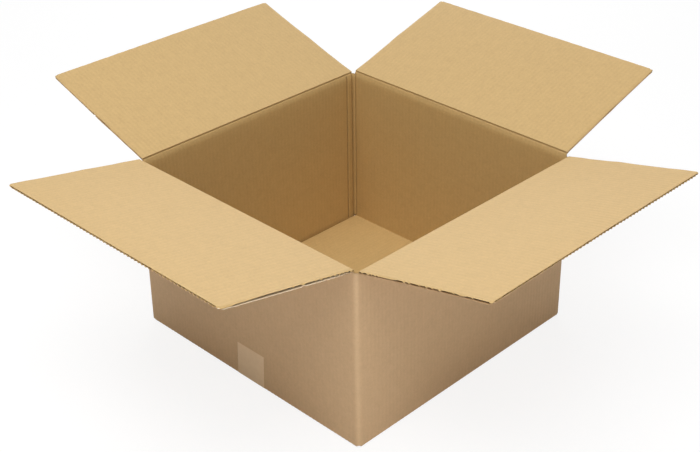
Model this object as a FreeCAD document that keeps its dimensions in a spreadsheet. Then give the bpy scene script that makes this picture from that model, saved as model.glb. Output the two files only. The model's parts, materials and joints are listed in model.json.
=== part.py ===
import FreeCAD, Part
import os

import Sketcher
from FreeCAD import Vector

# Open cardboard box: a square slotted carton in single-wall corrugated board, 400 x 400 x 250 mm.
# One blank is folded round four vertical creases and glued inside the left front corner.
# The four bottom flaps are folded in and held by one strip of tape. The four top flaps are open.
# The origin is the middle of the underside, +Z is up and the front wall faces -Y.

doc = FreeCAD.newDocument("open_cardboard_box")

# Driving dimensions, in millimetres and degrees
SIZES = [
    ("box_width", 400.0),
    ("box_depth", 400.0),
    ("box_height", 250.0),
    ("board_thickness", 3.0),
    ("fold_clearance", 0.3),
    ("crease_gap", 0.2),
    ("slot_width", 9.0),
    ("slot_drop", 0.5),
    ("meeting_gap", 3.0),
    ("corner_radius", 4.0),
    ("joint_gap", 1.5),
    ("tab_width", 35.0),
    ("tab_taper", 10.0),
    ("tab_end_gap", 4.0),
    ("liner_thickness", 0.3),
    ("medium_thickness", 0.25),
    ("flute_pitch", 6.35),
    ("flute_crest", 0.7),
    ("crushed_band", 6.0),
    ("front_rise", 11.5),
    ("right_rise", 13.7),
    ("back_rise", 16.8),
    ("left_rise", 18.0),
    ("tape_width", 50.0),
    ("tape_thickness", 0.1),
    ("tape_tail", 51.5),
    ("tape_offset", 5.0),
    ("tape_bend", 3.4),
]

# Dimensions that follow from them
FORMULAS = [
    # flaps: two facing flaps leave the meeting gap, and half a slot is cut off at each side
    ("flap_side", "=slot_width / 2"),
    ("flap_length_x", "=(box_width - meeting_gap) / 2"),
    ("flap_length_y", "=(box_depth - meeting_gap) / 2"),
    # the left and right flaps close under the others, so their creases lie one board lower
    ("inner_crease", "=box_height - board_thickness - fold_clearance"),
    ("slot_bottom", "=inner_crease - slot_drop"),
    # the front and back bottom flaps close over the other two, one board higher, and the roll of
    # their crease reaches down to the table beside the lower flaps' cut ends
    ("inner_floor", "=board_thickness + fold_clearance"),
    ("foot_width", "=flap_side - fold_clearance"),
    ("floor_top", "=inner_floor + board_thickness"),
    ("bend_radius", "=min(corner_radius; flap_side - fold_clearance)"),
    ("tab_low", "=floor_top + tab_end_gap"),
    ("tab_high", "=slot_bottom - tab_end_gap"),
    # flutes: enough copies to run past both sides of the widest flap
    ("flute_base", "=flute_pitch - 2 * medium_thickness - flute_crest"),
    ("flutes_x", "=floor((box_width - slot_width) / flute_pitch / 2) * 2 + 3"),
    ("flutes_y", "=floor((box_depth - slot_width) / flute_pitch / 2) * 2 + 3"),
]

sheet = doc.addObject("Spreadsheet::Sheet", "sizes")
for row, (alias, value) in enumerate(SIZES + FORMULAS, start=1):
    sheet.set(f"A{row}", alias)
    sheet.set(f"B{row}", str(value))
    sheet.setAlias(f"B{row}", alias)
doc.recompute()


def bound(text):
    """An expression in which each named size is read from the sheet."""
    names = {alias for alias, _ in SIZES + FORMULAS}
    words = []
    for word in text.replace("(", "( ").replace(")", " )").split():
        words.append(f"<<sizes>>.{word}" if word in names else word)
    return " ".join(words)


def new_body(label):
    body = doc.addObject("PartDesign::Body", label)
    body.Label = label
    body.AllowCompound = True
    return body


def new_sketch(body, name, plane, offset="0"):
    """A sketch parallel to one of the body's origin planes, at an offset along the plane's normal."""
    sketch = body.newObject("Sketcher::SketchObject", name)
    planes = {feature.Role: feature for feature in body.Origin.OriginFeatures}
    sketch.AttachmentSupport = [(planes[plane], "")]
    sketch.MapMode = "FlatFace"
    sketch.setExpression(".AttachmentOffset.Base.z", bound(offset))
    return sketch


def draw_outline(sketch, corners):
    """A closed outline of straight lines. Each corner is a pair of expressions in the sizes."""
    first = sketch.GeometryCount
    values = [(sketch_value(sketch, across), sketch_value(sketch, along)) for across, along in corners]
    for index, (across, along) in enumerate(values):
        following = values[(index + 1) % len(values)]
        sketch.addGeometry(Part.LineSegment(Vector(across, along, 0), Vector(*following, 0)))
    for index, corner in enumerate(corners):
        line = first + index
        following = first + (index + 1) % len(corners)
        sketch.addConstraint(Sketcher.Constraint("Coincident", line, 2, following, 1))
        for kind, expression, value in zip(("DistanceX", "DistanceY"), corner, values[index]):
            number = sketch.addConstraint(Sketcher.Constraint(kind, -1, 1, line, 1, value))
            sketch.setExpression(f"Constraints[{number}]", bound(expression))


def sketch_value(sketch, expression):
    result = sketch.evalExpression(bound(expression))
    return float(getattr(result, "Value", result))


def add_pad(body, name, sketch, length, midplane=False, backwards=False):
    pad = body.newObject("PartDesign::Pad", name)
    pad.Profile = sketch
    pad.setExpression("Length", bound(length))
    pad.Midplane = midplane
    pad.Reversed = backwards
    doc.recompute()
    return pad


def add_pocket(body, name, sketch, length, midplane=False, backwards=False):
    """A pocket that must remove material, whichever way its sketch faces."""
    before = body.Shape.Volume
    pocket = body.newObject("PartDesign::Pocket", name)
    pocket.Profile = sketch
    pocket.setExpression("Length", bound(length))
    pocket.Midplane = midplane
    pocket.Reversed = backwards
    doc.recompute()
    if not body.Shape.Volume < before:
        raise RuntimeError(f"{name} cuts nothing")
    return pocket


def add_fillet(body, name, radius, wanted):
    """Rounds the edges of the body that the test picks by their two end points."""
    base = body.Tip
    names = []
    for number, edge in enumerate(base.Shape.Edges, start=1):
        if len(edge.Vertexes) == 2 and wanted(edge.Vertexes[0].Point, edge.Vertexes[1].Point):
            names.append(f"Edge{number}")
    fillet = body.newObject("PartDesign::Fillet", name)
    fillet.Base = (base, names)
    fillet.setExpression("Radius", bound(radius))
    doc.recompute()
    return fillet


def near(value, target):
    return abs(value - target) < 1e-4


half_width = sheet.box_width / 2
half_depth = sheet.box_depth / 2

# Shell, the folded blank without its top flaps: each pair of wall panels is drawn in section, with
# the bevelled top where the flap bends, the wall, and the bottom flap folded in to the seam
shell = new_body("box_shell")
side_section = new_sketch(shell, "side_section", "XZ_Plane")
for side in ("", "-"):
    draw_outline(side_section, [
        (f"{side} meeting_gap / 2", "0"),
        (f"{side} box_width / 2", "0"),
        (f"{side} box_width / 2", "inner_crease"),
        (f"{side} ( box_width / 2 - board_thickness )", "inner_crease - board_thickness"),
        (f"{side} ( box_width / 2 - board_thickness )", "board_thickness"),
        (f"{side} meeting_gap / 2", "board_thickness"),
    ])
add_pad(shell, "side_panels", side_section, "box_depth - slot_width", midplane=True)
add_fillet(shell, "side_bottom_folds", "bend_radius",
           lambda start, end: near(abs(start.x), half_width) and near(start.x, end.x)
           and near(start.z, 0) and near(end.z, 0))

end_section = new_sketch(shell, "end_section", "YZ_Plane")
for side in ("", "-"):
    draw_outline(end_section, [
        (f"{side} meeting_gap / 2", "inner_floor"),
        (f"{side} ( box_depth / 2 - foot_width )", "inner_floor"),
        (f"{side} ( box_depth / 2 - foot_width )", "0"),
        (f"{side} box_depth / 2", "0"),
        (f"{side} box_depth / 2", "box_height"),
        (f"{side} ( box_depth / 2 - board_thickness )", "box_height - board_thickness"),
        (f"{side} ( box_depth / 2 - board_thickness )", "floor_top"),
        (f"{side} meeting_gap / 2", "floor_top"),
    ])
add_pad(shell, "end_panels", end_section, "box_width - slot_width", midplane=True)
add_fillet(shell, "end_bottom_folds", "bend_radius",
           lambda start, end: near(abs(start.y), half_depth) and near(start.y, end.y)
           and near(start.z, 0) and near(end.z, 0))

# Vertical folds join the panels between the slots at the top and at the bottom. The fourth corner,
# left of the front wall, is the glued one: the front panel stops short there with a raw edge
fold_plan = new_sketch(shell, "fold_plan", "XY_Plane", "inner_floor + fold_clearance")
for across, along in (("", ""), ("", "-"), ("-", "")):
    draw_outline(fold_plan, [
        (f"{across} ( box_width / 2 - flap_side )", f"{along} box_depth / 2"),
        (f"{across} box_width / 2", f"{along} box_depth / 2"),
        (f"{across} box_width / 2", f"{along} ( box_depth / 2 - flap_side )"),
        (f"{across} ( box_width / 2 - board_thickness )", f"{along} ( box_depth / 2 - flap_side )"),
        (f"{across} ( box_width / 2 - board_thickness )", f"{along} ( box_depth / 2 - board_thickness )"),
        (f"{across} ( box_width / 2 - flap_side )", f"{along} ( box_depth / 2 - board_thickness )"),
    ])
draw_outline(fold_plan, [
    ("- box_width / 2", "- ( box_depth / 2 - flap_side )"),
    ("- box_width / 2", "- ( box_depth / 2 - board_thickness )"),
    ("- ( box_width / 2 - joint_gap )", "- ( box_depth / 2 - board_thickness )"),
    ("- ( box_width / 2 - joint_gap )", "- box_depth / 2"),
    ("- ( box_width / 2 - flap_side )", "- box_depth / 2"),
    ("- ( box_width / 2 - flap_side )", "- ( box_depth / 2 - board_thickness )"),
    ("- ( box_width / 2 - board_thickness )", "- ( box_depth / 2 - board_thickness )"),
    ("- ( box_width / 2 - board_thickness )", "- ( box_depth / 2 - flap_side )"),
])
add_pad(shell, "vertical_folds", fold_plan, "slot_bottom - inner_floor - fold_clearance")
add_fillet(shell, "outer_folds", "bend_radius",
           lambda start, end: near(start.x, end.x) and near(start.y, end.y)
           and near(abs(start.x), half_width) and near(abs(start.y), half_depth))

# The glue tab is the left panel's edge strip, folded in and glued behind the front panel
tab_outline = new_sketch(shell, "tab_outline", "XZ_Plane", "box_depth / 2 - board_thickness")
draw_outline(tab_outline, [
    ("- ( box_width / 2 - board_thickness )", "tab_low"),
    ("- ( box_width / 2 - board_thickness - tab_width )", "tab_low + tab_taper"),
    ("- ( box_width / 2 - board_thickness - tab_width )", "tab_high - tab_taper"),
    ("- ( box_width / 2 - board_thickness )", "tab_high"),
])
add_pad(shell, "glue_tab", tab_outline, "board_thickness", backwards=True)

# The tape lies flush: its pull has pressed the board in by its own thickness
seam_plan = new_sketch(shell, "tape_bed_seam_plan", "XY_Plane")
draw_outline(seam_plan, [
    ("tape_offset - tape_width / 2", "- box_depth / 2"),
    ("tape_offset + tape_width / 2", "- box_depth / 2"),
    ("tape_offset + tape_width / 2", "box_depth / 2"),
    ("tape_offset - tape_width / 2", "box_depth / 2"),
])
add_pocket(shell, "tape_bed_seam", seam_plan, "tape_thickness", backwards=True)
for side, name in (("", "front"), ("-", "back")):
    bed_face = new_sketch(shell, f"tape_bed_{name}_face", "XZ_Plane", f"{side} box_depth / 2")
    draw_outline(bed_face, [
        ("tape_offset - tape_width / 2", "0"),
        ("tape_offset + tape_width / 2", "0"),
        ("tape_offset + tape_width / 2", "tape_tail"),
        ("tape_offset - tape_width / 2", "tape_tail"),
    ])
    add_pocket(shell, f"tape_bed_{name}", bed_face, "tape_thickness", backwards=name == "back")


# Top flaps: each is drawn lying along its own +Y, with the crease on X and the outside face down.
# Its base is bevelled at the crease, and the flutes run from the crushed crease to the free edge
def make_flap(label, crease, turn, rise, length, width, flutes):
    body = new_body(label)
    section = new_sketch(body, label + "_section", "YZ_Plane")
    draw_outline(section, [
        ("crease_gap", "0"),
        (length, "0"),
        (length, "board_thickness"),
        ("board_thickness + crease_gap + fold_clearance", "board_thickness"),
    ])
    add_pad(body, label + "_board", section, width, midplane=True)
    channels = new_sketch(body, label + "_channels", "XZ_Plane", f"- ( {length} )")
    start = f"- ( {flutes} - 1 ) / 2 * flute_pitch"
    draw_outline(channels, [
        (f"{start} - flute_base / 2", "liner_thickness"),
        (f"{start} + flute_base / 2", "liner_thickness"),
        (f"{start} + flute_crest / 2", "board_thickness - liner_thickness - medium_thickness"),
        (f"{start} - flute_crest / 2", "board_thickness - liner_thickness - medium_thickness"),
    ])
    draw_outline(channels, [
        (f"{start} + flute_pitch / 2 - flute_base / 2", "board_thickness - liner_thickness"),
        (f"{start} + flute_pitch / 2 + flute_base / 2", "board_thickness - liner_thickness"),
        (f"{start} + flute_pitch / 2 + flute_crest / 2", "liner_thickness + medium_thickness"),
        (f"{start} + flute_pitch / 2 - flute_crest / 2", "liner_thickness + medium_thickness"),
    ])
    pocket = body.newObject("PartDesign::Pocket", label + "_flute")
    pocket.Profile = channels
    pocket.Reversed = True
    pocket.setExpression("Length", bound(f"{length} - board_thickness - crushed_band"))
    pattern = body.newObject("PartDesign::LinearPattern", label + "_flutes")
    axes = {feature.Role: feature for feature in body.Origin.OriginFeatures}
    pattern.Originals = [pocket]
    pattern.Direction = (axes["X_Axis"], [""])
    pattern.Mode = "Spacing"
    pattern.setExpression("Offset", bound("flute_pitch"))
    pattern.setExpression("Occurrences", bound(flutes))
    body.Tip = pattern
    across, along, up = crease
    body.setExpression("Placement", bound(
        f"placement( vector( {across} ; {along} ; {up} ) ; rotation( {turn} ; 0 ; {rise} ) )"))
    doc.recompute()
    return body


flaps = [
    make_flap("flap_front", ("0", "- box_depth / 2", "box_height"), "180", "front_rise",
              "flap_length_y", "box_width - slot_width", "flutes_x"),
    make_flap("flap_right", ("box_width / 2", "0", "inner_crease"), "-90", "right_rise",
              "flap_length_x", "box_depth - slot_width", "flutes_y"),
    make_flap("flap_back", ("0", "box_depth / 2", "box_height"), "0", "back_rise",
              "flap_length_y", "box_width - slot_width", "flutes_x"),
    make_flap("flap_left", ("- box_width / 2", "0", "inner_crease"), "90", "left_rise",
              "flap_length_x", "box_depth - slot_width", "flutes_y"),
]

# Tape: one strip along the seam, bent up the front and back walls round the roll of their crease
tape = new_body("packing_tape")
tape_section = new_sketch(tape, "tape_section", "YZ_Plane", "tape_offset")
draw_outline(tape_section, [
    ("- box_depth / 2", "tape_tail"),
    ("- box_depth / 2", "0"),
    ("box_depth / 2", "0"),
    ("box_depth / 2", "tape_tail"),
    ("box_depth / 2 - tape_thickness", "tape_tail"),
    ("box_depth / 2 - tape_thickness", "tape_thickness"),
    ("- box_depth / 2 + tape_thickness", "tape_thickness"),
    ("- box_depth / 2 + tape_thickness", "tape_tail"),
])
add_pad(tape, "tape_strip", tape_section, "tape_width", midplane=True)
add_fillet(tape, "tape_outer_bends", "tape_bend",
           lambda start, end: near(abs(start.y), half_depth) and near(start.y, end.y)
           and near(start.z, 0) and near(end.z, 0))
add_fillet(tape, "tape_inner_bends", "tape_bend - tape_thickness",
           lambda start, end: near(abs(start.y), half_depth - sheet.tape_thickness)
           and near(start.y, end.y)
           and near(start.z, sheet.tape_thickness) and near(end.z, sheet.tape_thickness))

doc.recompute()
for item in doc.Objects:
    if "Invalid" in item.State or "Error" in item.State:
        raise RuntimeError(f"{item.Label} failed: {item.State}")

os.makedirs("parts", exist_ok=True)
for body in [shell, *flaps, tape]:
    shape = body.Shape
    if shape.isNull() or not shape.isValid() or len(shape.Solids) != 1:
        raise RuntimeError(f"{body.Label} is not one sound solid")
    shape.exportStep(f"parts/{body.Label}.step")
    print(body.Label, round(shape.Volume), len(shape.Faces), shape.BoundBox)
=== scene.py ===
import json
import math

import bpy
import numpy as np
from mathutils import Matrix, Vector


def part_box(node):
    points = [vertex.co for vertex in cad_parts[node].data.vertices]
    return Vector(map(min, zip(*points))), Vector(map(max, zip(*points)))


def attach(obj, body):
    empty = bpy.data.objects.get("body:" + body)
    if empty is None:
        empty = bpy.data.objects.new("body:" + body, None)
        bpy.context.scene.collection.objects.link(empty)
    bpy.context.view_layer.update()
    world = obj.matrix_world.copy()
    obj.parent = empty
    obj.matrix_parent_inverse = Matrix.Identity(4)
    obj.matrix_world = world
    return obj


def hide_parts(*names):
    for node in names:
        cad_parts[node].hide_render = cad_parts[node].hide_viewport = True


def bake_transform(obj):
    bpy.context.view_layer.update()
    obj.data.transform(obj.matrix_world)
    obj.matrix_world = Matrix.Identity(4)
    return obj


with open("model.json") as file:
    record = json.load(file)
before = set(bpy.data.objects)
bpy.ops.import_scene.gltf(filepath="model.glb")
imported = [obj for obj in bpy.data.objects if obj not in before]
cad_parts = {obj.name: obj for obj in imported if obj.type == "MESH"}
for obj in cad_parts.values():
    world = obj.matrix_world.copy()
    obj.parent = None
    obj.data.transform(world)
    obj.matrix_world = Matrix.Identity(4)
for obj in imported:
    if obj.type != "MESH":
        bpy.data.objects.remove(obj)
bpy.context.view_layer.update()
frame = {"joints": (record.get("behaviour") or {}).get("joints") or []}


# Corrugated board. The carton is cut from one sheet of single-wall board: two kraft liners with a
# fluted sheet glued between them. The flutes run up the walls and out along the flaps.
BOARD = 0.003                # thickness of the board
LINER = 0.00034              # one sheet of paper in it
PITCH = 0.00635              # from flute to flute
SAG = 0.00011                # how far a liner dips between two glue lines
CRUSHED = 0.36               # share of the thickness that is left where a crease was pressed
CLOUD_SCALE, PULP_SCALE, SPECK_SCALE = 80.0, 330.0, 170.0    # of the paper's patterns, per metre
FIBRE_STRETCH = (2600.0, 420.0, 1.0)     # fibres lie along the flutes
SPECK_PAINT = (0.20, 0.11, 0.05, 1.0)
SHARP_RIM = math.radians(38.0)


def add_node(tree, kind, inputs=None, **settings):
    """One node, with each input either a value or another node's output."""
    node = tree.nodes.new(kind)
    for name, value in settings.items():
        setattr(node, name, value)
    for socket, value in (inputs or {}).items():
        if isinstance(value, bpy.types.NodeSocket):
            tree.links.new(value, node.inputs[socket])
        else:
            node.inputs[socket].default_value = value
    return node


def new_material(name):
    material = bpy.data.materials.new(name)
    material.use_nodes = True
    material.node_tree.nodes.clear()
    return material, material.node_tree


def scaled(tree, value, factor, shift=0.0):
    return add_node(tree, "ShaderNodeMath", {0: value, 1: factor, 2: shift},
                    operation="MULTIPLY_ADD").outputs[0]


def make_kraft(name, dark, light, washboard_shade, gloss=0.5):
    """Brown kraft liner: cloudy pulp, short fibres, rare dark specks, and stripes at the flute pitch
    that paint the shade of the liner's washboard ripple.
    """
    material, tree = new_material(name)
    place = add_node(tree, "ShaderNodeTexCoord").outputs["Object"]
    clouds = add_node(tree, "ShaderNodeTexNoise", {"Vector": place, "Scale": CLOUD_SCALE,
                                                   "Detail": 5.0, "Roughness": 0.62}).outputs["Fac"]
    pulp = add_node(tree, "ShaderNodeTexNoise", {"Vector": place, "Scale": PULP_SCALE,
                                                 "Detail": 4.0, "Roughness": 0.7}).outputs["Fac"]
    flat = add_node(tree, "ShaderNodeUVMap", uv_map="board").outputs["UV"]
    stretched = add_node(tree, "ShaderNodeMapping", {"Vector": flat, "Scale": FIBRE_STRETCH})
    fibres = add_node(tree, "ShaderNodeTexNoise", {"Vector": stretched.outputs[0], "Scale": 1.0,
                                                   "Detail": 3.0, "Roughness": 0.6,
                                                   "Distortion": 0.6}).outputs["Fac"]
    across = add_node(tree, "ShaderNodeSeparateXYZ", {"Vector": flat}).outputs["X"]
    turn = scaled(tree, across, 2.0 * math.pi / PITCH)
    wave = add_node(tree, "ShaderNodeMath", {0: turn}, operation="COSINE").outputs[0]
    specks = add_node(tree, "ShaderNodeTexVoronoi", {"Vector": place, "Scale": SPECK_SCALE,
                                                     "Randomness": 1.0}).outputs["Distance"]
    speck = add_node(tree, "ShaderNodeMapRange", {"Value": specks, "From Min": 0.03,
                                                  "From Max": 0.09, "To Min": 1.0,
                                                  "To Max": 0.0}).outputs["Result"]
    chance = add_node(tree, "ShaderNodeTexNoise", {"Vector": place, "Scale": 90.0,
                                                   "Detail": 1.0}).outputs["Fac"]
    rare = add_node(tree, "ShaderNodeMath", {0: chance, 1: 0.62}, operation="GREATER_THAN").outputs[0]
    speck = add_node(tree, "ShaderNodeMath", {0: speck, 1: rare}, operation="MULTIPLY").outputs[0]

    shade = scaled(tree, clouds, 0.60, -0.72)
    shade = add_node(tree, "ShaderNodeMath", {0: pulp, 1: 1.30, 2: shade},
                     operation="MULTIPLY_ADD").outputs[0]
    shade = add_node(tree, "ShaderNodeMath", {0: fibres, 1: 0.50, 2: shade},
                     operation="MULTIPLY_ADD").outputs[0]
    # stripes at the flute pitch: painted shade of the washboard ripple
    shade = add_node(tree, "ShaderNodeMath", {0: wave, 1: washboard_shade, 2: shade},
                     operation="MULTIPLY_ADD").outputs[0]
    mixed = add_node(tree, "ShaderNodeMix", {"Factor": shade}, data_type="RGBA")
    mixed.inputs["A"].default_value = (*dark, 1.0)
    mixed.inputs["B"].default_value = (*light, 1.0)
    marked = add_node(tree, "ShaderNodeMix", {"Factor": scaled(tree, speck, 0.35)}, data_type="RGBA")
    tree.links.new(mixed.outputs["Result"], marked.inputs["A"])
    marked.inputs["B"].default_value = SPECK_PAINT

    height = add_node(tree, "ShaderNodeMath", {0: fibres, 1: 0.5, 2: pulp},
                      operation="MULTIPLY_ADD").outputs[0]
    grain = add_node(tree, "ShaderNodeBump", {"Height": height, "Strength": 0.22,
                                              "Distance": 0.00012})
    rough = add_node(tree, "ShaderNodeMapRange", {"Value": pulp, "To Min": 0.52,
                                                  "To Max": 0.70}).outputs["Result"]
    shader = add_node(tree, "ShaderNodeBsdfPrincipled", {
        "Base Color": marked.outputs["Result"], "Roughness": rough, "Normal": grain.outputs[0],
        "Specular IOR Level": gloss})
    output = add_node(tree, "ShaderNodeOutputMaterial")
    tree.links.new(shader.outputs[0], output.inputs["Surface"])
    return material


kraft_inside = make_kraft("kraft_inside", (0.475, 0.312, 0.121), (0.615, 0.417, 0.174), 0.06)
kraft_outside = make_kraft("kraft_outside", (0.520, 0.342, 0.184), (0.652, 0.440, 0.243), 0.04)
# darker paper, painted shade for the fold grooves and the pinched lines
kraft_crease_shade = make_kraft("kraft_crease_shade", (0.340, 0.215, 0.080), (0.440, 0.285, 0.110), 0.0)
# pale cut paper, brightened further as a painted highlight where the rim catches light
kraft_pale_rim_and_highlight = make_kraft("kraft_pale_rim_and_highlight", (0.780, 0.640, 0.440), (0.860, 0.730, 0.540), 0.0)
kraft_shaded = make_kraft("kraft_shaded", (0.055, 0.030, 0.014), (0.085, 0.048, 0.024), 0.0, 0.0)


def smooth(value):
    """0 below 0, 1 above 1, and an even S between."""
    held = np.clip(value, 0.0, 1.0)
    return held * held * (3.0 - 2.0 * held)


def ripple(values, spacing, seed):
    """A smooth random line from -1 to 1, with a new value every spacing."""
    steps = (np.asarray(values) - np.min(values)) / spacing
    knots = np.random.default_rng(seed).uniform(-1.0, 1.0, int(np.max(steps)) + 3)
    low = steps.astype(int)
    part = smooth(steps - low)
    return knots[low] * (1.0 - part) + knots[low + 1] * part


def board_mesh(name, points, faces, liners, uv):
    """A piece of board. Each face's liner is 0 outside, 1 inside the carton and 2 for the darker paper
    that paints shade in the fold grooves and the pinched lines."""
    mesh = bpy.data.meshes.new(name)
    mesh.from_pydata(points.tolist(), [], faces)
    for paper in (kraft_outside, kraft_inside, kraft_crease_shade):
        mesh.materials.append(paper)
    mesh.polygons.foreach_set("material_index", liners)
    finish_board(mesh, uv)
    piece = bpy.data.objects.new(name, mesh)
    bpy.context.scene.collection.objects.link(piece)
    return piece


def finish_board(mesh, uv):
    """Lays the flat pattern on as a UV map in metres and shades the faces smooth with sharp rims."""
    corners = np.empty(len(mesh.loops), np.int32)
    mesh.loops.foreach_get("vertex_index", corners)
    layer = mesh.uv_layers.get("board") or mesh.uv_layers.new(name="board")
    layer.data.foreach_set("uv", uv[corners].astype(np.float32).ravel())
    mesh.shade_smooth()
    mesh.set_sharp_from_angle(angle=SHARP_RIM)
    mesh.validate()


# Carton body. The blank is folded round four scored creases, its glue tab is pasted behind the front
# panel at the left, and the four bottom flaps are folded in, left and right outermost. Each corner is
# slotted above and below, and the top edge of every wall is pressed thin where its flap bends.
low_corner, high_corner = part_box("box_shell")
WIDTH = high_corner.x - low_corner.x
DEPTH = high_corner.y - low_corner.y
JOINTS = {joint["child"]: joint for joint in frame["joints"]}
SIDES = ("front", "right", "back", "left")
CREASE = {side: JOINTS[f"{side}_flap"]["pos_m"][2] for side in SIDES}
# where each flap's cut sides stand along its crease, measured from the middle of the wall
FLAP_SPAN = {"front": (-0.1968, 0.1955), "right": (-0.1965, 0.1955),
             "back": (-0.1935, 0.1945), "left": (-0.1925, 0.1977)}
CORNER_BEND = {"right": 0.0060, "back": 0.0028, "left": 0.0022}   # of the fold before that panel
TAB_BEND = 0.003
TAB_WIDTH = 0.035
PASTE = 0.0001
JOINT_GAP = 0.0015           # the front panel's raw edge stops this short of the corner
BASE_BEND = 0.0020           # outside radius of a bottom fold
BASE_LEVEL = {"front": 0.0033, "right": 0.0, "back": 0.0033, "left": 0.0}
BASE_FLAP = 0.1985           # from the wall's outside to the flap's free edge
SLOT_LOW = 0.0026
SLOT_HIGH = min(CREASE.values()) - 0.0004
TAB_LOW, TAB_HIGH = 0.011, 0.2380
CORNER_RISE = {"right": 0.0012, "back": 0.0, "left": 0.0005}   # of the slot's end, above SLOT_HIGH
SHOULDER = 0.011             # height of the pressed band under a crease
SHOULDER_CURVE = 2.2         # how late in that height the board thins
WALL_BOW = 0.0006            # how far each wall's middle bulges
FOOT_TOP = 0.0115            # the walls' inside is level with their outside from this height up
TAB_SLANT = 0.010            # how much each end of the glue tab slants in
# the folded bottom pushes the walls out at the table: outward in x and in y at each corner
LEAN = {(-1, -1): (-0.0005, -0.0009), (1, -1): (0.0040, -0.0018),
        (1, 1): (0.0008, 0.0017), (-1, 1): (0.0, 0.0)}
STEPS_PER_FLUTE = 5
CORNER_STEPS = 9             # lines across an upright corner, its two ends included
TAB_STEPS = 7                # lines round the glue tab's fold
WALK = {"front": ((1, 0), (0, -1)), "right": ((0, 1), (1, 0)),
        "back": ((-1, 0), (0, 1)), "left": ((0, -1), (-1, 0))}
PANEL, CORNER, TAB = 0, 1, 2
# fine lines folding has pressed into the inside beside the upright corners: place along the wall as
# the sheet runs, half width, depth as a share of the board
PINCHES = {"back": ((DEPTH - 0.0082, 0.0007, 0.34),), "right": ((DEPTH - 0.0070, 0.0007, 0.25),),
           "left": ((0.0046, 0.0008, 0.45), (0.0150, 0.0009, 0.40))}
PINCH_LINES = (-2.2, -1.3, -0.6, 0.0, 0.6, 1.3, 2.2)     # of the mesh, in half widths of a pinch
# raised paper beside those lines: a band on the left wall and a bead in each inside corner
BAND = (0.0050, 0.0152)
BAND_RISE, BEAD_RISE = 0.16, 0.28
BEAD_REACH = 0.0078


def panel_length(side):
    return WIDTH if side in ("front", "back") else DEPTH


def wall_bow(within, length, height, crease):
    """How far a wall bulges outwards at a place along it and a height."""
    share = np.clip(within / length, 0.0, 1.0)
    return WALL_BOW * np.sin(np.pi * share) * np.sin(np.pi * np.clip(height / crease, 0.0, 1.0))


def leaned(points):
    """Moves points of the body out with the walls' lean, which fades to nothing at the creases."""
    x, y, z = points[..., 0], points[..., 1], points[..., 2]
    low = np.clip(1.0 - z / CREASE["right"], 0.0, 1.0)
    for (side_x, side_y), (push_x, push_y) in LEAN.items():
        near = (0.5 + side_x * x / WIDTH) * (0.5 + side_y * y / DEPTH) * low
        points = points + np.stack([near * push_x, near * push_y, np.zeros_like(near)], axis=-1)
    return points


def folded(number, place):
    """Where a place along one panel comes to lie once the blank is folded, and which way is outward."""
    corner = np.array([-WIDTH / 2, -DEPTH / 2])
    for side in SIDES[:number]:
        corner = corner + np.array(WALK[side][0]) * panel_length(side)
    along, outward = (np.array(v, float) for v in WALK[SIDES[number]])
    length = panel_length(SIDES[number])
    before = CORNER_BEND.get(SIDES[number], 0.0)
    after = CORNER_BEND.get(SIDES[number + 1], 0.0) if number < 3 else 0.0
    if place < before:
        angle = (0.5 - place / (2 * before)) * math.pi / 2
        facing = outward * math.cos(angle) - along * math.sin(angle)
        point = corner + along * before - outward * before + facing * before
    elif place > length - after:
        angle = (place - length + after) / (2 * after) * math.pi / 2
        facing = outward * math.cos(angle) + along * math.sin(angle)
        point = corner + along * (length - after) - outward * after + facing * after
    else:
        point, facing = corner + along * place, outward
    return (*point, *facing)


def body_columns():
    """The upright lines of the blank, from the front panel's raw edge round to the end of the
    glue tab. Each is (x, y, outward x, outward y, place on the blank, panel, next panel, share of
    the next, kind)."""
    columns = []
    start = 0.0
    for number, side in enumerate(SIDES):
        length = panel_length(side)
        first = length / 2 - FLAP_SPAN[side][1]
        last = length / 2 - FLAP_SPAN[side][0]
        if side == "front":
            for place in (JOINT_GAP, (JOINT_GAP + first) / 2):
                columns.append((*folded(0, place), place, side, side, 0.0, CORNER))
        count = round((last - first) / PITCH * STEPS_PER_FLUTE)
        places = list(np.linspace(first, last, count + 1))
        for pinch in PINCHES.get(side, ()):
            around = pinch[0] + np.array(PINCH_LINES) * pinch[1]
            places = [place for place in places if abs(place - pinch[0]) > 2.5 * pinch[1]
                      or place in (first, last)]
            places += [place for place in around if first < place < last]
        for place in sorted(places):
            columns.append((*folded(number, place), start + place, side, side, 0.0, PANEL))
        if side != "left":
            following = SIDES[number + 1]
            gap_after = panel_length(following) / 2 - FLAP_SPAN[following][1]
            for share in np.linspace(0.0, 1.0, CORNER_STEPS)[1:-1]:
                place = last + share * (length + gap_after - last)
                where = (folded(number, place) if place <= length
                         else folded(number + 1, place - length))
                columns.append((*where, start + place, side, following, share, CORNER))
        start += length
    centre = np.array([-WIDTH / 2 + TAB_BEND, -DEPTH / 2 + BOARD + PASTE + TAB_BEND])
    for share in np.linspace(0.0, 1.0, TAB_STEPS):
        angle = share * math.pi / 2
        facing = np.array([-math.cos(angle), -math.sin(angle)])
        columns.append((*(centre + facing * TAB_BEND), *facing,
                        start - BOARD - TAB_BEND + share * TAB_BEND * 2, "left", "left", 0.0,
                        CORNER if share < 1.0 else TAB))
    for place in np.arange(1, TAB_WIDTH / PITCH * STEPS_PER_FLUTE) * PITCH / STEPS_PER_FLUTE:
        columns.append((centre[0] + place, centre[1] - TAB_BEND, 0.0, -1.0,
                        start - BOARD + TAB_BEND + place, "left", "left", 0.0, TAB))
    return columns


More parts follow.
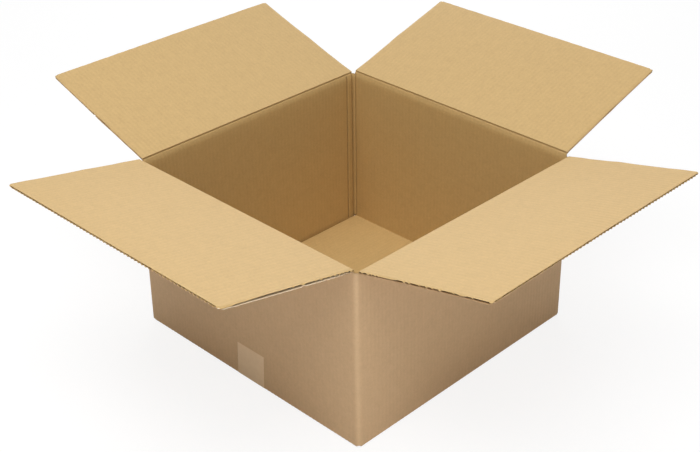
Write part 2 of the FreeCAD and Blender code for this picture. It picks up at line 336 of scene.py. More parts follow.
def body_rows(side):
    """The level lines of one panel from the bottom flap's free edge to the crease at the top.
    Each is (inward and height of the outside, inward and height of the inside, place on the blank)."""
    level = BASE_LEVEL[side]
    rows = [(inward, level, inward, level + BOARD, -inward)
            for inward in (BASE_FLAP, BASE_FLAP - 0.0012, 0.185, 0.150, 0.100, 0.050, 0.012, 0.0075)]
    rows.append((0.0047, level, 0.0047, level + BOARD, -0.0047))
    # the crease rolls down to the table; its inside stays a tight corner
    roll = 0.0003 if level else 0.0
    inside = ((0.0037, 0.0), (0.00335, 0.00008), (0.00308, 0.00035), (0.0030, 0.0007))
    for turn, (inner, rise) in zip((90.0, 60.0, 30.0, 0.0), inside):
        angle = math.radians(turn)
        rows.append((BASE_BEND * (1 - math.cos(angle)), roll + BASE_BEND * (1 - math.sin(angle)),
                     inner, level + BOARD + rise, -0.001 * turn / 90.0))
    foot = level + BOARD + 0.0009
    for height, climb in ((SLOT_LOW, 0.0), (0.004, 0.12), (0.0055, 0.28), (0.0078, 0.55)):
        rows.append((0.0, height, BOARD, foot + (FOOT_TOP - foot) * climb, height))
    upper = [TAB_LOW, *np.linspace(0.022, 0.228, 9), TAB_HIGH, 0.2405, 0.2430, 0.2448, SLOT_HIGH,
             CREASE[side]]
    for height in upper:
        rows.append((0.0, height, BOARD, max(height, FOOT_TOP), height))
    return np.array(rows)


def fold_body():
    columns = body_columns()
    rows = {side: body_rows(side) for side in SIDES}
    xy = np.array([column[0:2] for column in columns])
    out = np.array([column[2:4] for column in columns])
    place = np.array([column[4] for column in columns])
    share = np.array([column[7] for column in columns])[:, None, None]
    kind = np.array([column[8] for column in columns])
    grid = (np.array([rows[column[5]] for column in columns]) * (1 - share)
            + np.array([rows[column[6]] for column in columns]) * share)
    crease = np.array([CREASE[column[5]] * (1 - column[7]) + CREASE[column[6]] * column[7]
                       for column in columns])[:, None]
    ends = np.array([0.0, WIDTH, WIDTH + DEPTH, 2 * WIDTH + DEPTH, 2 * (WIDTH + DEPTH)])
    distance = np.min(np.abs(place[:, None] - ends), axis=1)
    panel = np.searchsorted(ends, place, side="right") - 1
    within = place - ends[np.clip(panel, 0, 4)]
    tab = (kind == TAB)[:, None]

    # the tab's two ends are cut at a slant, and its rows close up to fit
    past = np.clip(place - place[kind == TAB][0], 0.0, TAB_WIDTH)[:, None]
    low = TAB_LOW + TAB_SLANT * past / TAB_WIDTH
    high = TAB_HIGH - TAB_SLANT * past / TAB_WIDTH
    for index in (1, 3):
        squeezed = low + (grid[:, :, index] - TAB_LOW) / (TAB_HIGH - TAB_LOW) * (high - low)
        grid[:, :, index] = np.where(tab, squeezed, grid[:, :, index])
    slot_top = np.nonzero(rows["right"][:, 4] == SLOT_HIGH)[0][0]
    for number, column in enumerate(columns):
        if column[8] == CORNER and column[5] != column[6]:
            grid[number, slot_top, [1, 3, 4]] += CORNER_RISE[column[6]]
    height = grid[:, :, 1]
    upright = grid[:, :, 0] == 0.0

    # a pressed shoulder under each crease, pinched lines beside the upright folds and raised paper
    # next to them
    pressed = np.clip((height - (crease - SHOULDER)) / SHOULDER, 0.0, 1.0)
    pressed = pressed ** SHOULDER_CURVE * upright
    dent = np.zeros(len(columns))
    # the inside faces along each pinched line are marked for the darker paper: painted shade of the
    # groove
    pinch_shade = np.zeros(len(columns), bool)
    for number, side in enumerate(SIDES):
        for middle, half, deep in PINCHES.get(side, ()):
            dent += deep * np.exp(-((within - middle) / half) ** 2) * (panel == number)
            pinch_shade |= (np.abs(within - middle) < 1.4 * half) & (panel == number)
    band = smooth((within - BAND[0]) / 0.0015) * smooth((BAND[1] - within) / 0.0020) * (panel == 3)
    bead = smooth((BEAD_REACH - distance) / 0.0015) * ((panel == 1) | (panel == 2)) * (within > 0.3)
    dent -= BAND_RISE * band + BEAD_RISE * bead
    reach = 1.0 - (1.0 - CRUSHED) * pressed - dent[:, None] * upright * (1.0 - 0.5 * pressed)
    reach = np.where(tab, 0.97, reach)
    wave = np.cos(2 * math.pi * place / PITCH)[:, None]
    fade = smooth((distance[:, None] - 0.0045) / PITCH) * (1.0 - pressed) * ~tab
    length = np.array([panel_length(SIDES[min(number, 3)]) for number in panel])[:, None]
    bow = wall_bow(within[:, None], length, height, crease) * upright * ~tab

    def layer(depth):
        """Points at one depth in the board, from the outside face at 0 to the inside face at 1."""
        dip = SAG / BOARD * fade * (1 + wave) / 2
        rise = SAG / BOARD * fade * (1 - wave) / 2
        part = depth * (reach - rise) + (1 - depth) * dip
        inward = grid[:, :, 0] + (grid[:, :, 2] - grid[:, :, 0]) * part - bow
        level = grid[:, :, 1] + (grid[:, :, 3] - grid[:, :, 1]) * part
        return leaned(np.stack([xy[:, 0:1] - out[:, 0:1] * inward,
                                xy[:, 1:2] - out[:, 1:2] * inward, level], axis=2))

    # which cells of the blank are board: slots are open above and below, and the tab is shorter
    run = rows["right"][:, 4]
    middle = (run[:-1] + run[1:]) / 2
    walls = (middle > SLOT_LOW) & (middle < SLOT_HIGH)
    tab_rows = (middle > TAB_LOW) & (middle < TAB_HIGH)
    cell_kind = np.maximum(kind[:-1], kind[1:])
    cells = np.ones((len(columns) - 1, len(run) - 1), bool)
    cells[cell_kind == CORNER] &= walls
    cells[cell_kind == TAB] &= tab_rows
    # cells that get painted shade along the pinched lines
    dark = (pinch_shade[:-1] & pinch_shade[1:])[:, None] & (middle > 0.006)[None, :]
    return sheet_with_rims([layer(0.0), layer(0.12), layer(0.88), layer(1.0)], cells, dark, place,
                           grid[:, :, 4])


def sheet_with_rims(layers, cells, dark, place, run):
    """A closed sheet from a grid of points on both faces. Every cut edge shows two thin liners with
    the hollow of the flutes set back between them."""
    tall = layers[0].shape[1]
    size = layers[0].shape[0] * tall
    faces, liners = [], []
    inside = {}
    rims = []
    for i, j in zip(*np.nonzero(cells)):
        corners = [(i, j), (i + 1, j), (i + 1, j + 1), (i, j + 1)]
        flat = [a * tall + b for a, b in corners]
        faces.append(flat)
        faces.append([3 * size + index for index in reversed(flat)])
        # liner 2 is the darker paper of the painted shade
        liners += [0, 2 if dark[i, j] else 1]
        for side, (step, normal) in enumerate((((0, -1), (0, 1)), ((1, 0), (-1, 0)),
                                               ((0, 1), (0, -1)), ((-1, 0), (1, 0)))):
            a, b = i + step[0], j + step[1]
            if 0 <= a < cells.shape[0] and 0 <= b < cells.shape[1] and cells[a, b]:
                continue
            rims.append((corners[side], corners[(side + 1) % 4]))
            for corner in rims[-1]:
                old = inside.get(corner, (0, 0))
                inside[corner] = (old[0] + normal[0], old[1] + normal[1])
    for start, end in rims:
        ring = []
        for corner in (end, start):
            normal = inside[corner]
            near = (corner[0] + int(np.sign(normal[0])), corner[1] + int(np.sign(normal[1])))
            here, there = corner[0] * tall + corner[1], near[0] * tall + near[1]
            ring.append([here, size + here, size + there, 2 * size + there, 2 * size + here,
                         3 * size + here])
        for level in range(5):
            faces.append([ring[0][level], ring[1][level], ring[1][level + 1], ring[0][level + 1]])
            liners.append(0 if level == 0 else 1)
    points = np.concatenate([layer.reshape(-1, 3) for layer in layers])
    flat_uv = np.stack([np.repeat(place[:, None], tall, axis=1), run], axis=2).reshape(-1, 2)
    uv = np.tile(flat_uv, (4, 1))
    used = np.unique(np.concatenate([np.array(face) for face in faces]))
    renumber = np.zeros(len(points), int)
    renumber[used] = np.arange(len(used))
    return points[used], [renumber[face].tolist() for face in faces], liners, uv[used]


carton_body = board_mesh("carton_body", *fold_body())
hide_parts("box_shell")
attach(carton_body, "box")


# Top flaps. Each is the same board, sheared along its sides and its free edge, so the open ends of
# the flutes show. The knife has pinched the sides in places, and handling has softened the corners.
FLAP_LENGTH = 0.1985
FLAP_START = 0.0002          # the flap's own mesh begins this far out from the crease
FLUTE_STEPS, OUTSIDE_STEPS = 4, 2        # columns of the mesh per flute, the second outside
CORE_DRAG = 0.0026           # how far the knife drags the fluted sheet in at the cut sides
RAISED = 0.00075             # how far the free edge's outside liner is pushed up at each flute
BASE_ROWS = (0.0, 0.0003, 0.0006, 0.0009, 0.0012, 0.0060, 0.0400, 0.0850, 0.1300, 0.1650, 0.1850,
             0.1920, 0.1955, 0.1970, 0.1979, 0.1985)
# places along each cut side where the liners are nipped together: (from the crease, half length,
# how far shut), on the side at the low end of the crease line and on the side at its high end
NIPS = {
    "front": ([(0.0045, 0.0011, 0.9), (0.0105, 0.0011, 0.9), (0.0170, 0.0011, 0.8),
               (0.0230, 0.0011, 0.9), (0.0300, 0.0011, 0.8), (0.0380, 0.0012, 0.9),
               (0.0450, 0.0010, 0.7), (0.0520, 0.0012, 0.8), (0.0610, 0.0010, 0.7),
               (0.0795, 0.0022, 0.95), (0.0948, 0.0012, 0.7), (0.1690, 0.0160, 0.35),
               (0.1890, 0.0080, 0.85)],
              [(0.0600, 0.0200, 0.3), (0.1300, 0.0300, 0.4)]),
    "right": ([(0.0500, 0.0200, 0.3), (0.1300, 0.0300, 0.4)],
              [(0.0065, 0.0012, 0.8), (0.0155, 0.0020, 0.95), (0.0215, 0.0010, 0.8),
               (0.0270, 0.0012, 0.9), (0.0325, 0.0010, 0.9), (0.0460, 0.0110, 0.55),
               (0.0722, 0.0016, 0.95), (0.0800, 0.0014, 0.9), (0.0954, 0.0010, 0.8),
               (0.1065, 0.0014, 0.95), (0.1145, 0.0010, 0.8), (0.1260, 0.0016, 0.95),
               (0.1456, 0.0009, 0.8), (0.1575, 0.0050, 0.60), (0.1724, 0.0010, 0.8),
               (0.1965, 0.0010, 0.6)]),
    "back": ([(0.0500, 0.0300, 0.45), (0.1500, 0.0400, 0.5)],
             [(0.0500, 0.0400, 0.5), (0.1500, 0.0400, 0.55)]),
    "left": ([(0.0400, 0.0300, 0.5), (0.1050, 0.0012, 0.95), (0.1500, 0.0400, 0.55)],
             [(0.0500, 0.0300, 0.45), (0.1500, 0.0400, 0.5)]),
}
# how shut the free edge is at the low and the high end of the crease line, and how far in
TIPS = {"front": ((0.85, 0.0065), (0.7, 0.0040)), "right": ((0.7, 0.0040), (0.8, 0.0045)),
        "back": ((0.5, 0.0040), (0.9, 0.0050)), "left": ((0.5, 0.0040), (0.5, 0.0040))}
# how far the outside liner stands past the flutes, on the low side, high side and free edge
PROUD = {"front": (0.0011, 0.0004, 0.0006), "right": (0.0004, 0.0003, 0.0004),
         "back": (0.0003, 0.0003, 0.0003), "left": (0.0003, 0.0003, 0.0003)}
# how much shorter each flap was cut at the low and at the high end of its crease line
TRIM = {"front": (0.0003, 0.0018), "right": (0.0035, 0.0021),
        "back": (0.0, 0.0), "left": (0.0, 0.0)}


def flute_tree():
    """Lays the three papers of the board on each other: flat liner, fluted sheet, flat liner."""
    tree = bpy.data.node_groups.new("corrugated_board", "GeometryNodeTree")
    sockets = (("Width", "NodeSocketFloat"), ("Length", "NodeSocketFloat"),
               ("Board", "NodeSocketFloat"), ("Paper", "NodeSocketFloat"),
               ("Pitch", "NodeSocketFloat"), ("Sag", "NodeSocketFloat"),
               ("Flute columns", "NodeSocketInt"), ("Inside columns", "NodeSocketInt"),
               ("Outside columns", "NodeSocketInt"), ("Rows", "NodeSocketInt"))
    for name, kind in sockets:
        tree.interface.new_socket(name=name, in_out="INPUT", socket_type=kind)
    tree.interface.new_socket(name="Geometry", in_out="OUTPUT", socket_type="NodeSocketGeometry")
    given = add_node(tree, "NodeGroupInput").outputs

    def reckon(operation, *values):
        return add_node(tree, "ShaderNodeMath", dict(enumerate(values)),
                        operation=operation).outputs[0]

    position = add_node(tree, "GeometryNodeInputPosition").outputs[0]
    axes = add_node(tree, "ShaderNodeSeparateXYZ", {0: position})
    from_side = reckon("MULTIPLY_ADD", given["Width"], 0.5, axes.outputs["X"])
    turn = reckon("MULTIPLY", reckon("DIVIDE", from_side, given["Pitch"]), 2 * math.pi)
    wave = reckon("COSINE", turn)
    half_board = reckon("MULTIPLY", given["Board"], 0.5)
    half_paper = reckon("MULTIPLY", given["Paper"], 0.5)
    half_sag = reckon("MULTIPLY", given["Sag"], 0.5)
    swing = reckon("SUBTRACT", half_board, reckon("MULTIPLY", given["Paper"], 1.5))
    fluted = reckon("MULTIPLY_ADD", wave, swing, half_board)
    outside = reckon("ADD", reckon("MULTIPLY_ADD", wave, half_sag, half_sag), half_paper)
    top = reckon("SUBTRACT", given["Board"], half_paper)
    inside = reckon("SUBTRACT", reckon("MULTIPLY_ADD", wave, half_sag, top), half_sag)
    join = tree.nodes.new("GeometryNodeJoinGeometry")
    for level, columns in ((inside, "Inside columns"), (fluted, "Flute columns"),
                           (outside, "Outside columns")):
        paper = add_node(tree, "GeometryNodeMeshGrid", {
            "Size X": given["Width"], "Size Y": given["Length"],
            "Vertices X": given[columns], "Vertices Y": given["Rows"]})
        lift = add_node(tree, "ShaderNodeCombineXYZ", {"Z": level})
        placed = add_node(tree, "GeometryNodeSetPosition", {
            "Geometry": paper.outputs["Mesh"], "Offset": lift.outputs[0]})
        tree.links.new(placed.outputs[0], join.inputs[0])
    real = add_node(tree, "GeometryNodeRealizeInstances", {0: join.outputs[0]})
    below = reckon("LESS_THAN", axes.outputs["Z"], reckon("ADD", given["Paper"], given["Sag"]))
    golden = add_node(tree, "GeometryNodeSetMaterial", {"Geometry": real.outputs[0]})
    golden.inputs["Material"].default_value = kraft_inside
    greyer = add_node(tree, "GeometryNodeSetMaterial", {"Geometry": golden.outputs[0],
                                                        "Selection": below})
    greyer.inputs["Material"].default_value = kraft_outside
    # the outermost flute at each cut side lies in its own shade
    sunk = reckon("LESS_THAN", reckon("ABSOLUTE", reckon("SUBTRACT", axes.outputs["Z"], half_board)),
                  reckon("SUBTRACT", half_board, reckon("MULTIPLY_ADD", given["Paper"], 1.0,
                                                        given["Sag"])))
    last = reckon("GREATER_THAN", reckon("ABSOLUTE", axes.outputs["X"]),
                  reckon("SUBTRACT", reckon("MULTIPLY", given["Width"], 0.5), given["Pitch"]))
    shaded = add_node(tree, "GeometryNodeSetMaterial", {
        "Geometry": greyer.outputs[0], "Selection": reckon("MULTIPLY", sunk, last)})
    shaded.inputs["Material"].default_value = kraft_shaded
    result = add_node(tree, "NodeGroupOutput")
    tree.links.new(shaded.outputs[0], result.inputs[0])
    return tree


def lay_flutes(tree, width, rows):
    """One flap's three papers as a plain mesh, lying flat with the outside liner at the bottom."""
    holder = bpy.data.objects.new("flute_holder", bpy.data.meshes.new("flute_holder"))
    bpy.context.scene.collection.objects.link(holder)
    laid = holder.modifiers.new("flutes", "NODES")
    laid.node_group = tree
    flutes = width / PITCH
    values = {"Width": width, "Length": 1.0, "Board": BOARD, "Paper": LINER, "Pitch": PITCH,
              "Sag": SAG, "Flute columns": round(flutes * FLUTE_STEPS) + 1,
              "Inside columns": round(flutes * FLUTE_STEPS) + 1,
              "Outside columns": round(flutes * OUTSIDE_STEPS) + 1,
              "Rows": rows}
    for item in tree.interface.items_tree:
        if item.in_out == "INPUT":
            laid[item.identifier] = values[item.name]
    thicken = holder.modifiers.new("paper", "SOLIDIFY")
    thicken.thickness = LINER
    thicken.offset = 0.0
    bpy.context.view_layer.update()
    evaluated = holder.evaluated_get(bpy.context.evaluated_depsgraph_get())
    mesh = bpy.data.meshes.new_from_object(evaluated)
    bpy.data.objects.remove(holder)
    return mesh


def flap_rows(side):
    """Places of the mesh's rows along a flap, closer together where its sides are nipped."""
    rows = set(BASE_ROWS)
    for nips in NIPS[side]:
        for place, half, _ in nips:
            rows.update(place + half * step for step in ((-1.6, -0.6, 0.6, 1.6) if half > 0.0015
                                                         else (-1.5, 0.0, 1.5)))
    rows = np.array(sorted(row for row in rows if 0.0 <= row <= FLAP_LENGTH))
    kept = np.concatenate([[True], np.diff(rows) > 0.00025])
    kept[-1] = True
    return rows[kept]


def nipped(side, high_end, y):
    """How far shut a cut side is, 0 to 1, at each place along it."""
    shut = np.zeros_like(y)
    for place, half, most in NIPS[side][high_end]:
        shut = np.maximum(shut, most * smooth((half * 1.6 - np.abs(y - place)) / (half * 0.9)))
    return shut


def shape_flap(side, points, width, rows, wear):
    """Turns the flat papers into a used flap: pressed base, pinched sides, ragged and soft edges."""
    x = points[:, 0]
    share = points[:, 1] + 0.5
    depth = points[:, 2] / BOARD
    y = np.interp(share, np.linspace(0.0, 1.0, len(rows)), rows)
    y = FLAP_START + y * (FLAP_LENGTH - FLAP_START) / FLAP_LENGTH
    flat = np.stack([x + width / 2, y], axis=1)
    edge = width / 2 - np.abs(x)
    end = FLAP_LENGTH - y
    high = x > 0

    # the fluted sheet is dragged in at the cut sides and its last flute stands open
    core = 1.0 - smooth((np.abs(depth - 0.5) - 0.36) / 0.05)
    lower = smooth((0.2 - depth) / 0.08)
    x = x - np.sign(x) * core * CORE_DRAG * smooth((0.0070 - edge) / 0.0060)

    # thickness that is left: pressed at the crease, nipped at the sides, shut at the tips
    thick = CRUSHED + (1 - CRUSHED) * smooth((y - 0.0002) / 0.0007)
    shut = np.where(high, nipped(side, 1, y), nipped(side, 0, y))
    thick *= 1 - shut * smooth((0.0026 - edge) / 0.0024)
    (low_shut, low_reach), (high_shut, high_reach) = TIPS[side]
    tip = np.where(high, high_shut * smooth((high_reach * 1.4 - edge) / (high_reach * 0.8)),
                   low_shut * smooth((low_reach * 1.4 - edge) / (low_reach * 0.8)))
    wander = 0.08 + 0.10 * ripple(x, 0.009, wear)
    thick *= 1 - np.clip(np.maximum(tip, wander), 0.0, 0.95) * smooth((0.0022 - end) / 0.0020)
    middle = np.where(y < 0.006, 0.0, 0.42)
    z = BOARD * (middle + (depth - middle) * thick)

    # the outside liner stands a little proud of the flutes at the cut, and the cut wanders
    at_end = smooth((0.0022 - end) / 0.0020)
    low_proud, high_proud, end_proud = PROUD[side]
    y = y + (end_proud * lower + 0.00010 * ripple(x, 0.004, wear + 3)) * at_end
    at_side = smooth((0.0020 - edge) / 0.0018)
    proud = np.where(high, high_proud, low_proud) * smooth((y - 0.003) / 0.030)
    x = x + np.sign(x) * (proud * lower + 0.00010 * ripple(y, 0.006, wear + 4)) * at_side
    z = z - 0.00015 * lower * np.maximum(at_end, at_side)
    z = z + RAISED * (1 + np.cos(2 * math.pi * flat[:, 0] / PITCH)) * lower * at_end
    corner = np.exp(-((edge / 0.0025) ** 2 + (end / 0.0025) ** 2))
    x = x - np.sign(x) * (0.0003 + 0.0008 * lower) * corner
    y = y - (0.0003 + 0.0005 * lower) * corner
    trim = TRIM[side][0] + (TRIM[side][1] - TRIM[side][0]) * (x / width + 0.5)
    y = y - trim * np.clip(y / FLAP_LENGTH, 0.0, None)
    if side == "front":
        # one flute near the right-hand corner has burst open downwards
        burst = np.exp(-(((flat[:, 0] - 0.0122) / 0.0018) ** 2)) * smooth((0.006 - end) / 0.006)
        z = z - 0.0014 * burst * (1 - smooth((depth - 0.55) / 0.3))
    if side == "left":
        # a small nick in the cut side that faces the front
        nick = np.exp(-(((y - 0.105) / 0.0011) ** 2)) * smooth((0.003 - edge) / 0.003) * ~high
        x = x + 0.0011 * nick
    return np.stack([x, y, z], axis=1), flat


def mark_papers(mesh, side, flat, depth, face_way):
    """Paints shade on the fold line with the darker crease paper, and gives the front flap's rim pale
    cut paper made brighter still as a painted highlight.
    """
    first = len(mesh.materials)
    mesh.materials.append(kraft_crease_shade)
    mesh.materials.append(kraft_pale_rim_and_highlight)
    for polygon in mesh.polygons:
        corners = list(polygon.vertices)
        x, y = flat[corners].mean(axis=0)
        # faces at the fold line take the darker paper: painted shade of the groove
        if y < 0.0010:
            polygon.material_index = first
        # the front flap's lower liner at its near cut side: pale cut paper plus a painted highlight
        elif (side == "front" and x < PITCH / 3 and depth[corners].mean() < 0.2
              and polygon.normal.dot(face_way) > -0.5):
            polygon.material_index = first + 1


# seed, bow over the length, lift of the free corners at the low and the high end of the crease line
FLAP_WEAR = {"front": (11, 0.0008, 0.0014, -0.0012), "right": (23, 0.0010, -0.0004, -0.0012),
             "back": (37, 0.0012, 0.0, 0.0), "left": (51, -0.0008, 0.0, -0.0006)}
flutes_laid = flute_tree()
flap_places = {}
for flap_side in SIDES:
    joint = JOINTS[f"{flap_side}_flap"]
    hinge = Vector(joint["pos_m"])
    crease_way = Vector(joint["axis"])
    rise = math.radians(180.0 - joint["range_deg"][1])
    outward = Vector((0, 0, 1)).cross(crease_way)
    length_way = outward * math.cos(rise) + Vector((0, 0, 1)) * math.sin(rise)
    face_way = crease_way.cross(length_way)
    low_end, high_end = FLAP_SPAN[flap_side]
    flap_width = high_end - low_end
    seed, bow, lift_low, lift_high = FLAP_WEAR[flap_side]
    rows = flap_rows(flap_side)
    flap_mesh = lay_flutes(flutes_laid, flap_width, len(rows))
    points = np.empty(len(flap_mesh.vertices) * 3)
    flap_mesh.vertices.foreach_get("co", points)
    depth = points[2::3] / BOARD
    points, flat = shape_flap(flap_side, points.reshape(-1, 3), flap_width, rows, seed)
    along = points[:, 1] / FLAP_LENGTH
    lift = np.where(points[:, 0] > 0, lift_high, lift_low) * np.abs(points[:, 0]) / (flap_width / 2)
    points[:, 2] += (lift + bow * 4 * (1 - along)) * along ** 1.5
    points[:, 0] += (high_end + low_end) / 2
    placed = points @ np.array([crease_way, length_way, face_way]) + np.array(hinge)
    flap_mesh.vertices.foreach_set("co", placed.ravel())
    flap_mesh.update()
    finish_board(flap_mesh, flat)
    mark_papers(flap_mesh, flap_side, flat, depth, face_way)
    flap_mesh.name = f"top_flap_{flap_side}"
    flap = bpy.data.objects.new(f"top_flap_{flap_side}", flap_mesh)
    bpy.context.scene.collection.objects.link(flap)
    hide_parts(f"flap_{flap_side}")
    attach(flap, f"{flap_side}_flap")
    flap_places[flap_side] = (hinge, crease_way, outward, length_way, face_way)


# Creases. The two liners run on from wall to flap, pressed together by the scoring wheel, so the
# fold is a soft rounded strip about a millimetre thick.
CREASE_THICK = BOARD * CRUSHED
CREASE_REACH = 0.0022
CREASE_COLUMNS = 80
for flap_side in SIDES:
    hinge, crease_way, outward, length_way, face_way = flap_places[flap_side]
    down, inward = Vector((0, 0, -1)), -outward
    outline = [down * CREASE_REACH + inward * 0.0001, down * 0.0014 - inward * 0.00005,
               down * 0.0006 - inward * 0.00012, (down + length_way).normalized() * 0.00045,
               length_way * 0.0006 - face_way * 0.00012, length_way * 0.0014 - face_way * 0.00005,
               length_way * CREASE_REACH + face_way * 0.0001,
               length_way * CREASE_REACH + face_way * CREASE_THICK * 0.85,
               length_way * 0.0007 + face_way * CREASE_THICK]
    outside_edges = 7
    for share in np.linspace(1.0, 0.0, 7):
        facing = (inward * (1 - share) + face_way * share).normalized()
        outline.append(facing * CREASE_THICK * (1.03 - 0.25 * math.sin(math.pi * share)))
    outline += [inward * CREASE_THICK + down * 0.0008,
                inward * CREASE_THICK * 0.85 + down * CREASE_REACH]
    count = len(outline)
    points = []
    for place in np.linspace(*FLAP_SPAN[flap_side], CREASE_COLUMNS):
        points += [hinge + crease_way * place + corner for corner in outline]
    faces, liners = [], []
    for column in range(CREASE_COLUMNS - 1):
        for corner in range(count):
            after = (corner + 1) % count
            faces.append([column * count + corner, column * count + after,
                          (column + 1) * count + after, (column + 1) * count + corner])
            # faces on the strip's top next to the flap take the darker paper: painted shade of the
            # groove at the fold
            liners.append(0 if corner < outside_edges else 2 if corner < count - 6 else 1)
    faces.append(list(range(count))[::-1])
    faces.append([(CREASE_COLUMNS - 1) * count + corner for corner in range(count)])
    # the strip's two ends carry the same painted shade
    liners += [2, 2]
    points = np.array(points)
    flat = np.stack([(points - np.array(hinge)) @ np.array(crease_way),
                     (points - np.array(hinge)) @ np.array(length_way)], axis=1)
    crease = board_mesh(f"crease_{flap_side}", points, faces, liners, flat)
    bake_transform(crease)


# Tape. One strip of clear packing tape, 50 mm wide, is pressed along the bottom seam and folded up
# the front and back walls. A toothed cutter left both ends finely serrated.
TAPE_WIDTH = 0.050
TAPE_MIDDLE = 0.005
TAPE_TAIL = 0.0515
TAPE_FILM = 0.00012
TAPE_TEETH = 0.0005
TAPE_SKEW = 0.0027           # how far each tail leans to the side at its end
TAPE_COLUMNS = 61


def make_film():
    material, tree = new_material("tape_film")
    place = add_node(tree, "ShaderNodeTexCoord").outputs["Object"]
    clouds = add_node(tree, "ShaderNodeTexNoise", {"Vector": place, "Scale": 160.0,
                                                   "Detail": 3.0}).outputs["Fac"]
    mixed = add_node(tree, "ShaderNodeMix", {"Factor": clouds}, data_type="RGBA")
    mixed.inputs["A"].default_value = (0.74, 0.54, 0.33, 1.0)
    mixed.inputs["B"].default_value = (0.82, 0.62, 0.40, 1.0)
    bubbles = add_node(tree, "ShaderNodeBump", {"Height": clouds, "Strength": 0.25,
                                                "Distance": 0.0002})
    shader = add_node(tree, "ShaderNodeBsdfPrincipled", {
        "Base Color": mixed.outputs["Result"], "Roughness": 0.38, "Normal": bubbles.outputs[0],
        "Coat Weight": 0.2, "Coat Roughness": 0.2})
    output = add_node(tree, "ShaderNodeOutputMaterial")
    tree.links.new(shader.outputs[0], output.inputs["Surface"])
    return material


film = make_film()
tape_line = [(0.0, height, 0.0) for height in np.linspace(TAPE_TAIL, BASE_BEND + 0.0006, 10)]
for angle in np.linspace(0.0, math.pi / 2, 7):
    tape_line.append((BASE_BEND * (1 - math.cos(angle)),
                      0.0003 + BASE_BEND * (1 - math.sin(angle)), angle))
tape_line += [(inward, 0.0, math.pi / 2) for inward in (0.0047, 0.012, 0.040, 0.080, 0.120, 0.160)]
tape_line += [(DEPTH / 2, 0.0, math.pi / 2)]
tape_line = ([(-DEPTH / 2 + inward, height, -math.cos(turn), -math.sin(turn))
              for inward, height, turn in tape_line]
             + [(DEPTH / 2 - inward, height, math.cos(turn), -math.sin(turn))
                for inward, height, turn in reversed(tape_line[:-1])])
points = []
for layer in (TAPE_FILM, 0.0):
    for number, (y, height, facing_y, facing_z) in enumerate(tape_line):
        last = number in (0, len(tape_line) - 1)
        for column in range(TAPE_COLUMNS):
            x = TAPE_MIDDLE + TAPE_WIDTH * (column / (TAPE_COLUMNS - 1) - 0.5)
            x += TAPE_SKEW * height / TAPE_TAIL
            tooth = TAPE_TEETH * (column % 2) if last else 0.0
            bulge = wall_bow(x + WIDTH / 2, WIDTH, height, CREASE["front"])
            points.append((x, y + facing_y * (layer + bulge), height + facing_z * layer - tooth))
line, size = len(tape_line), len(tape_line) * TAPE_COLUMNS
faces = []
for number in range(line - 1):
    for column in range(TAPE_COLUMNS - 1):
        a = number * TAPE_COLUMNS + column
        quad = [a, a + TAPE_COLUMNS, a + TAPE_COLUMNS + 1, a + 1]
        faces += [quad, [size + index for index in reversed(quad)]]
for a, b in ([(c, c + 1) for c in range(TAPE_COLUMNS - 1)]
             + [(size - 1 - c, size - 2 - c) for c in range(TAPE_COLUMNS - 1)]
             + [((n + 1) * TAPE_COLUMNS, n * TAPE_COLUMNS) for n in range(line - 1)]
             + [((n + 1) * TAPE_COLUMNS - 1, (n + 2) * TAPE_COLUMNS - 1) for n in range(line - 1)]):
    faces.append([a, b, size + b, size + a])
tape_mesh = bpy.data.meshes.new("seam_tape")
tape_mesh.from_pydata(leaned(np.array(points)).tolist(), [], faces)
tape_mesh.materials.append(film)
tape_mesh.shade_smooth()
tape_mesh.set_sharp_from_angle(angle=math.radians(40.0))
seam_tape = bpy.data.objects.new("seam_tape", tape_mesh)
bpy.context.scene.collection.objects.link(seam_tape)
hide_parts("packing_tape")
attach(seam_tape, "box")


# Studio. A white sweep under soft lamps: a broad one above, two high on the camera's side, a small
# one low by the near corner and one behind. None of the lamps shows in the picture.
FLOOR_REACH = 8.0
FLOOR_LEVEL = -0.0003        # just under the box, so that the two never share a plane


def make_floor():
    material, tree = new_material("white_sweep")
    paper = add_node(tree, "ShaderNodeBsdfDiffuse", {"Color": (0.86, 0.86, 0.86, 1.0)})
    glow = add_node(tree, "ShaderNodeEmission", {"Color": (1.0, 1.0, 1.0, 1.0), "Strength": 1.06})
    ray = add_node(tree, "ShaderNodeLightPath")
    seen = scaled(tree, ray.outputs["Is Camera Ray"], 0.80)
    mixed = add_node(tree, "ShaderNodeMixShader", {0: seen, 1: paper.outputs[0],
                                                   2: glow.outputs[0]})
    output = add_node(tree, "ShaderNodeOutputMaterial")
    tree.links.new(mixed.outputs[0], output.inputs["Surface"])
    return material


floor_mesh = bpy.data.meshes.new("studio_floor")
floor_mesh.from_pydata([(x * FLOOR_REACH, y * FLOOR_REACH, FLOOR_LEVEL)
                        for x, y in ((-1, -1), (1, -1), (1, 1), (-1, 1))], [], [(0, 1, 2, 3)])
floor_mesh.materials.append(make_floor())
floor = bpy.data.objects.new("studio_floor", floor_mesh)
bpy.context.scene.collection.objects.link(floor)

world = bpy.data.worlds.new("studio_air")
bpy.context.scene.world = world
world.use_nodes = True
world.node_tree.nodes.clear()
ray = add_node(world.node_tree, "ShaderNodeLightPath")
white = add_node(world.node_tree, "ShaderNodeMath",
                 {0: ray.outputs["Is Camera Ray"], 1: ray.outputs["Is Glossy Ray"]},
                 operation="ADD")
strength = scaled(world.node_tree, white.outputs[0], 0.73, 0.27)
air = add_node(world.node_tree, "ShaderNodeBackground",
               {"Color": (1, 1, 1, 1), "Strength": strength})
sky = add_node(world.node_tree, "ShaderNodeOutputWorld")
world.node_tree.links.new(air.outputs[0], sky.inputs["Surface"])


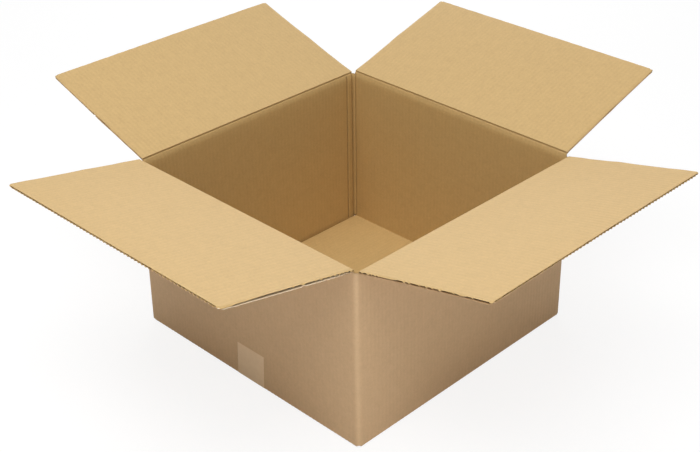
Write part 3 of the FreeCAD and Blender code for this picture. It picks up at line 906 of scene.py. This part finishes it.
def add_softbox(name, place, aim, size, power):
    lamp = bpy.data.lights.new(name, "AREA")
    lamp.shape = "DISK"
    lamp.size = size
    lamp.energy = power
    softbox = bpy.data.objects.new(name, lamp)
    bpy.context.scene.collection.objects.link(softbox)
    softbox.visible_camera = False
    softbox.location = place
    softbox.rotation_euler = (Vector(aim) - Vector(place)).to_track_quat("-Z", "Y").to_euler()


add_softbox("overhead_softbox", (0.35, -0.35, 2.3), (0.0, 0.0, 0.1), 1.8, 19.0)
add_softbox("front_softbox", (-0.3, -1.0, 2.2), (0.0, 0.0, 0.1), 1.2, 11.0)
add_softbox("near_softbox", (0.8, -0.8, 2.2), (0.0, 0.0, 0.1), 1.4, 15.0)
add_softbox("low_softbox", (1.1, -0.8, 0.12), (0.2, -0.15, 0.0), 0.5, 3.4)
add_softbox("behind_softbox", (-1.6, 1.6, 1.0), (0.0, 0.0, 0.2), 1.6, 15.0)

# Camera. It stands at the photograph's angle, turned a little about its own axis as it was held.
CAMERA_AZIMUTH = math.radians(45.091)
CAMERA_ELEVATION = math.radians(30.156)
CAMERA_ROLL = math.radians(-0.683)
CAMERA_DISTANCE = 1.798352
CAMERA_SIDESTEP = (-0.00656, 0.01944)
FOCAL_PIXELS = 1327.0
FRAME_PIXELS = 700.0
target = Vector((0.0, 0.0, (CREASE["front"] + CREASE["right"]) / 4))
back_way = Vector((math.sin(CAMERA_AZIMUTH) * math.cos(CAMERA_ELEVATION),
                   -math.cos(CAMERA_AZIMUTH) * math.cos(CAMERA_ELEVATION),
                   math.sin(CAMERA_ELEVATION)))
level_way = Vector((math.cos(CAMERA_AZIMUTH), math.sin(CAMERA_AZIMUTH), 0.0))
rolled = Matrix.Rotation(CAMERA_ROLL, 3, back_way)
right_way = rolled @ level_way
up_way = back_way.cross(right_way)
eye = (target + back_way * CAMERA_DISTANCE + right_way * CAMERA_SIDESTEP[0]
       + up_way * CAMERA_SIDESTEP[1])
lens = bpy.data.cameras.new("camera")
lens.sensor_width = 36.0
lens.lens = FOCAL_PIXELS / FRAME_PIXELS * lens.sensor_width
camera = bpy.data.objects.new("camera", lens)
bpy.context.scene.collection.objects.link(camera)
turned = Matrix((right_way, up_way, back_way)).transposed().to_4x4()
camera.matrix_world = Matrix.Translation(eye) @ turned
bpy.context.scene.camera = camera
bpy.context.scene.view_settings.view_transform = "Standard"
